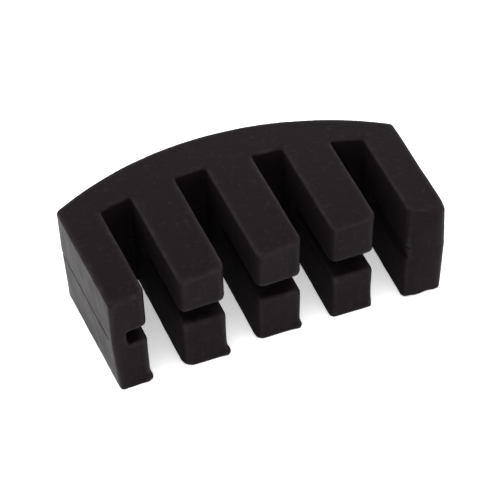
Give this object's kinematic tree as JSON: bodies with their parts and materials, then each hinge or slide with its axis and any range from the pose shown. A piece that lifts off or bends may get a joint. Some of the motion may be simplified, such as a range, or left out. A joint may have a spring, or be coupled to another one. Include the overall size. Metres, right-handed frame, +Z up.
{
  "type": "violin practice mute",
  "caption": "Moulded rubber block with comb-like prongs that slips over a violin's bridge, strings passing through its gaps, to quieten the instrument.",
  "frame": {"origin": "under the middle of the block, on the broad face that it rests on", "axes": "+X across the prongs, +Y from the prong tips to the arched spine, +Z up through the thickness"},
  "size_m": [0.05, 0.027, 0.016],
  "materials": {
    "rubber": "satin, slightly dusty moulded black rubber"
  },
  "bodies": {
    "root": {"mute_body": "rubber"}
  },
  "joints": []
}
